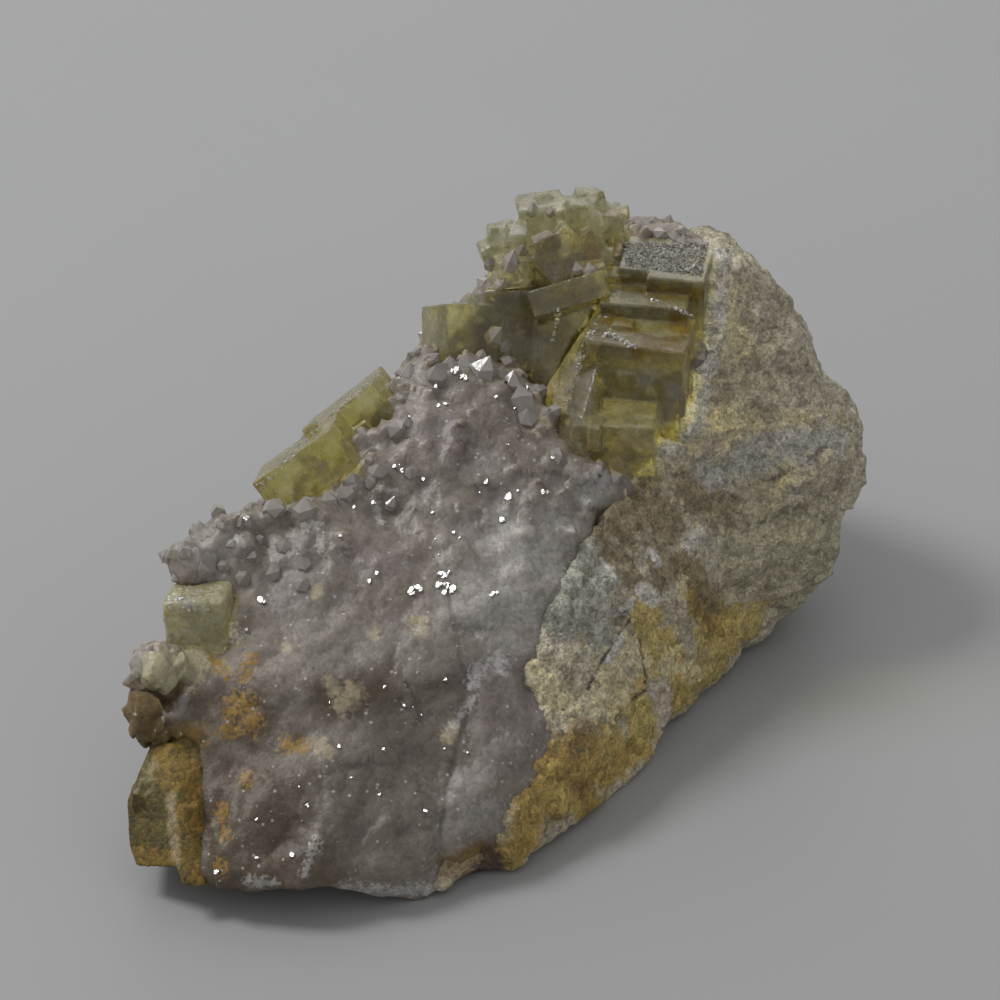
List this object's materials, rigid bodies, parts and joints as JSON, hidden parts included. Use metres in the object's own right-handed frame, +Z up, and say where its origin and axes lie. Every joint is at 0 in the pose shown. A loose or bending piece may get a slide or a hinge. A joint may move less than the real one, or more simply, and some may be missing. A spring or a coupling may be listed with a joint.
{
  "type": "rough fluorite with quartz",
  "caption": "Rough mineral specimen: glassy yellow-green fluorite cubes and a sparkling grey-mauve quartz crust grown on ochre host rock, resting on a flat underside.",
  "frame": {"origin": "on the ground, under the middle of the specimen's bounding box", "axes": "+X along the specimen's length towards its high right end, +Y towards its back, +Z up"},
  "size_m": [0.0988, 0.0554, 0.0464],
  "materials": {
    "rock": "rough granular stone with ochre, grey and brown patches",
    "quartz": "cloudy greyish mauve quartz, glassy on its broken face and sparkling in its druse",
    "fluorite": "clear yellow-green crystal with frosted and etched faces",
    "stained_fluorite": "olive-yellow crystal stained orange-brown, with upright striations"
  },
  "bodies": {
    "root": {"matrix_rock": "rock", "quartz_crust": "quartz", "fluorite_block": "fluorite", "fluorite_crest_cubes": "fluorite", "fluorite_summit_cubes": "fluorite", "fluorite_terrace": "fluorite", "fluorite_flank_cube": "fluorite", "fluorite_foot": "stained_fluorite"}
  },
  "joints": []
}
